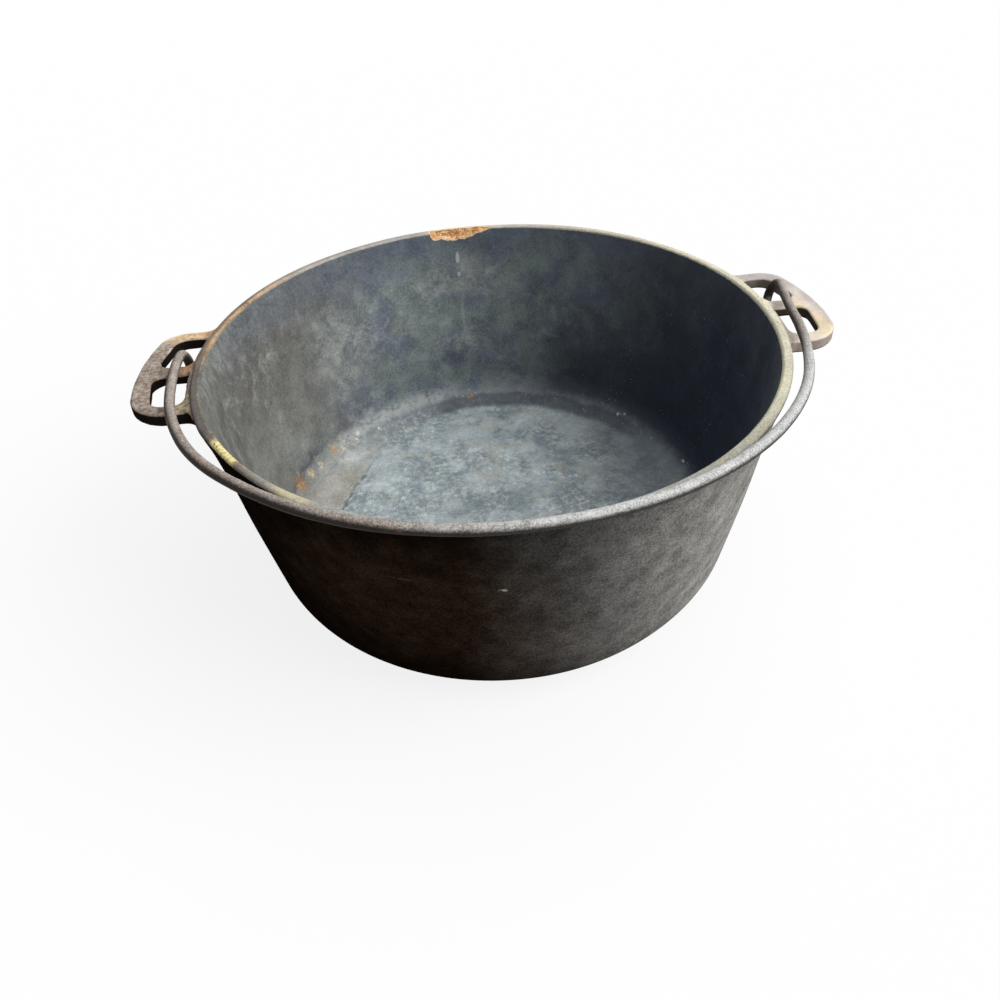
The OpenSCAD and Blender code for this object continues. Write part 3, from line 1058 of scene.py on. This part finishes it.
def ear_colour(p):
    """The ears, with painted shade on their undersides, the left ear's sides and the hole walls, darker
    hollows and pale worn edges.
    """
    mottle = p.noise(2.2, 5, 0.75, seed=8)
    patches = p.noise(13, 3, 0.6, seed=10)
    right = p.step(p.x, -20, 20)
    top = p.mix(right, left_ear_colour(p, mottle, patches), right_ear_colour(p, mottle, patches))
    far_x, far_y = p.math("ABSOLUTE", p.x), p.math("ABSOLUTE", p.y)
    # Painted shade on the walls of the holes, weaker in the right ear's far hole.
    hole_wall_shade = p.times(p.step(far_x, 153.4, 152.2), p.step(far_y, 30.5, 29))
    far_hole = p.times(p.step(p.y, 8, 16), right)
    side = p.mix(right, SHADE_AND_SOOT, EAR_SIDE)
    side = p.coats(side, (SHADE_AND_SOOT, hole_wall_shade, p.plus(0.85, far_hole, -0.5)))
    # Painted shade on faces turned from the top: dark undersides, and dark sides on the left ear; the
    # right ear's sides are grey-brown.
    colour = p.coats(
        top,
        (p.mix(p.step(p.up, -0.5, -0.1), SHADE_AND_SOOT, side), p.step(p.up, 0.5, 0.15)),
        (EDGE_PALE, p.step(p.stored("edge"), 0.35, 0.8), p.step(mottle, 0.36, 0.56),
         p.step(p.up, 0.0, 0.3), 0.4),
        # Darker in the hollows.
        (SHADE_AND_SOOT, p.step(p.stored("hollow"), 0.4, 0.9), 0.3),
    )
    return speckled(p, colour, EAR_GRAIN, p.plus(0.7, right, -0.25), 0.7, 35)


def rim_colour(p):
    """The rim's top: brown-grey at the left, silver in front, cream at the right, grey behind."""
    mottle = p.noise(3, 5, 0.7, seed=14)
    across = p.plus(p.radius, mottle, 1.2)
    worn = p.patchy(0.36, 0.5, 1.4, 4, 0.7, seed=52)
    colour = p.coats(
        RIM_CREAM,
        (RIM_BROWN, p.step(p.plus(p.x, mottle, 30), 20, -60)),
        (RIM_SILVER, p.step(p.y, -70, -112)),
        (EAR_LILAC, p.step(p.y, 50, 100), 0.7),
        (RIM_WORN, p.band(across, 130.9, 131.4, 0.35), p.patchy(0.42, 0.54, 5, 3, seed=51), 0.7),
        (RUST_YELLOW, p.band(p.turn, 80, 101, 2), 0.6),
        (RIM_SLATE, p.band(p.turn, -178, -152, 3), p.step(mottle, 0.3, 0.5), 0.7),
        (RUST_ORANGE, p.band(across, 130.6, 132.2, 0.4), p.band(p.turn, 140, 177, 6), 0.6,
         p.patchy(0.36, 0.56, 2, 4, 0.7, seed=58)),
        (EAR_YELLOW, p.step(p.x, 20, 90), p.patchy(0.46, 0.6, 1.2, 4, 0.7, seed=53), 0.8),
        (RIM_DOTS, p.step(p.x, 0, 80), p.patchy(0.52, 0.6, 0.9, 3, 0.7, seed=55), 0.6),
    )
    colour = speckled(p, colour, RIM_GRAIN, p.plus(0.65, p.step(p.x, -20, 80), -0.3), 0.8, 37)
    return p.coats(
        colour,
        (RIM_YELLOW, p.band(p.turn, -151, -143, 1), worn, 0.95),
        (YELLOW_EARTH, p.band(p.turn, -133, -125, 2), worn, 0.6),
    )


def with_rim(p, colour):
    """Adds the rim's colour on top and the rust in the break."""
    rim_z = POT_H * 1000
    top = p.step(p.plus(p.z, p.noise(2.5, 3, seed=27), 0.8), rim_z - 1.1, rim_z - 0.3)
    chip = p.stored("chip")
    return p.coats(
        colour,
        (rim_colour(p), top),
        (RUST_YELLOW, p.step(chip, 0.02, 0.3), 0.8),
        (rust(p), p.step(chip, 0.4, 0.8)),
    )


def outside_iron():
    """The pot's outside and its ears."""
    p = Paint("iron_outside")
    foot = FOOT_R * 1000
    proud = p.step(p.plus(p.radius, p.z, -SLOPE), foot + 1.6, foot + 3.4)
    by_rim = p.times(p.step(p.math("ABSOLUTE", p.y), 47, 41), p.step(p.z, 107.5, 110.5))
    near_ear = p.most(p.times(proud, p.step(p.z, 97, 103)), by_rim)
    colour = with_rim(p, p.mix(near_ear, outer_colour(p), ear_colour(p)))
    grain = p.plus(p.noise(0.8, 4, 0.65, seed=12), p.noise(5, 3, seed=28), 0.3)
    return p.finish(colour, p.plus(0.45, p.noise(9, 3, seed=13), 0.3), grain, 0.08, 0.0)


def inside_iron():
    """The pot's inside."""
    p = Paint("iron_inside")
    grain = p.plus(p.noise(0.9, 4, 0.6, seed=12), p.noise(6, 3, seed=28), 0.8)
    roughness = p.plus(0.4, p.noise(9, 3, seed=13), 0.3)
    return p.finish(with_rim(p, inner_colour(p)), roughness, grain, 0.12, 0.4)


def wire_metal():
    """The bail's bare wire: grey and silver, partly its bare metal and partly painted sheen, browner at
    the left and by the right ear, with painted shade underneath.
    """
    p = Paint("bail_wire")
    mottle = p.noise(5, 5, 0.7, seed=21)
    grain = p.noise(0.65, 4, 0.7, seed=22)
    speck = p.blend(grain, mottle, 0.3)
    brown = p.mix(p.step(speck, 0.36, 0.64), WIRE_BROWN, WIRE_DUSTY)
    by_ear = p.times(p.step(p.plus(p.y, mottle, 16), -56, -28), p.step(p.x, 60, 100))
    left = p.most(p.step(p.plus(p.x, mottle, 30), 20, -90), p.times(by_ear, 0.5))
    # Painted shade: the wire darkens where it faces down, and on the left arm and by the right ear also
    # where it faces away from +X.
    height = p.plus(p.plus(p.up, grain, 0.5), p.times(left, p.plus(-0.3, p.east, 0.6)), 1.0)
    # Grey with silver flecks at the front and right, partly bare metal and partly painted sheen.
    colour = p.coats(
        WIRE_GREY,
        (WIRE_SILVER, p.step(speck, 0.36, 0.6)),
        (brown, p.step(p.plus(p.x, mottle, 40), 40, -50)),
        (brown, by_ear, 0.9),
        # Painted shade where the wire faces away from the light.
        (SHADE_AND_SOOT, p.step(height, 1.1, 0.25), 0.92),
        (RUST_BROWN, p.patchy(0.6, 0.7, 6, 4, 0.65, seed=23), p.step(p.x, 60, -60), 0.3),
    )
    return p.finish(colour, p.plus(0.4, mottle, 0.3), p.plus(grain, mottle, 0.5), 0.07, 0.04)


def make_camera():
    """The photograph's camera, fitted to the rim, the wall and the ears."""
    position = Vector((-0.0320746, -0.3199686, 0.2905993))
    yaw, pitch, roll = 0.11327, 0.52897, -0.05497
    forward = direction(math.pi / 2 - yaw, -pitch)
    level = Vector((math.cos(yaw), -math.sin(yaw), 0))
    above = level.cross(forward)
    right = math.cos(roll) * level + math.sin(roll) * above
    up = -math.sin(roll) * level + math.cos(roll) * above
    camera = bpy.data.cameras.new("photo_camera")
    camera.sensor_width = 36
    camera.lens = 28.294
    camera.shift_y = -0.15
    camera.clip_start = 0.01
    holder = linked("photo_camera", camera)
    pose = Matrix((right, up, -forward)).transposed().to_4x4()
    pose.translation = position
    holder.matrix_world = pose
    bpy.context.scene.camera = holder


# The floor as it is seen is mostly plain white, and its own shading keeps the pot's soft shadow.
# It is wholly white beyond the second of the two radii, in millimetres.
FLOOR_SIZE = 6
FLOOR_SIDES = 96
FLOOR_WHITE = 0.85
FLOOR_FADE = (900, 4500)


def make_floor():
    """A pale round floor that keeps the pot's shadow and turns plain white far away."""
    turn = np.arange(FLOOR_SIDES) * 2 * math.pi / FLOOR_SIDES
    points = np.stack([FLOOR_SIZE * np.cos(turn), FLOOR_SIZE * np.sin(turn), 0 * turn], axis=1)
    p = Paint("pale_floor")
    tint = p.view((0.93, 0.93, 0.93, 1), (0.35, 0.35, 0.35, 1))
    p.fill(p.shader, Base_Color=tint, Roughness=0.9, Specular_IOR_Level=0.0)
    white = p.node("Emission")
    share = p.plus(FLOOR_WHITE, p.step(p.radius, *FLOOR_FADE), 1 - FLOOR_WHITE)
    share = p.times(p.seen(), share)
    both = p.feed(p.node("MixShader"), share, p.shader.outputs[0], white.outputs[0])
    p.fill(p.tree.nodes["Material Output"], Surface=both[0])
    floor = new_mesh("floor", points, [list(range(FLOOR_SIDES))], [p.material])


def sun(name, azimuth, elevation, softness, strength, colour=(1, 1, 1)):
    """A soft light from a direction: azimuth from +X towards +Y, in degrees."""
    lamp = bpy.data.lights.new(name, "SUN")
    lamp.energy = strength
    lamp.angle = math.radians(softness)
    lamp.color = colour
    holder = linked(name, lamp)
    towards = direction(math.radians(azimuth), math.radians(elevation))
    holder.rotation_euler = towards.to_track_quat("Z", "Y").to_euler()


def make_light():
    """Soft light from the right and from above over a weak even fill."""
    sun("side_light", -20, 35, 45, 2.6)
    sun("top_light", 20, 72, 60, 1.2)
    world = bpy.data.worlds.new("studio")
    bpy.context.scene.world = world
    world.use_nodes = True
    studio = Nodes(world.node_tree)
    sky = studio.view((1, 1, 1, 1), (0.2, 0.205, 0.215, 1))
    studio.fill(world.node_tree.nodes["Background"], Color=sky)


def main():
    bpy.context.scene.view_settings.view_transform = "Standard"
    make_camera()
    outer, inner = outside_iron(), inside_iron()
    shell = make_shell([outer, inner])
    pieces = [
        shell,
        make_ear("right_ear", 1, 61, [outer]),
        make_ear("left_ear", -1, 71, [outer]),
    ]
    for piece in pieces:
        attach(piece, "pot")
        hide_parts("pot")
    bail = make_bail(wire_metal())
    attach(bail, "bail")
    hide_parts("bail")
    make_floor()
    make_light()


main()
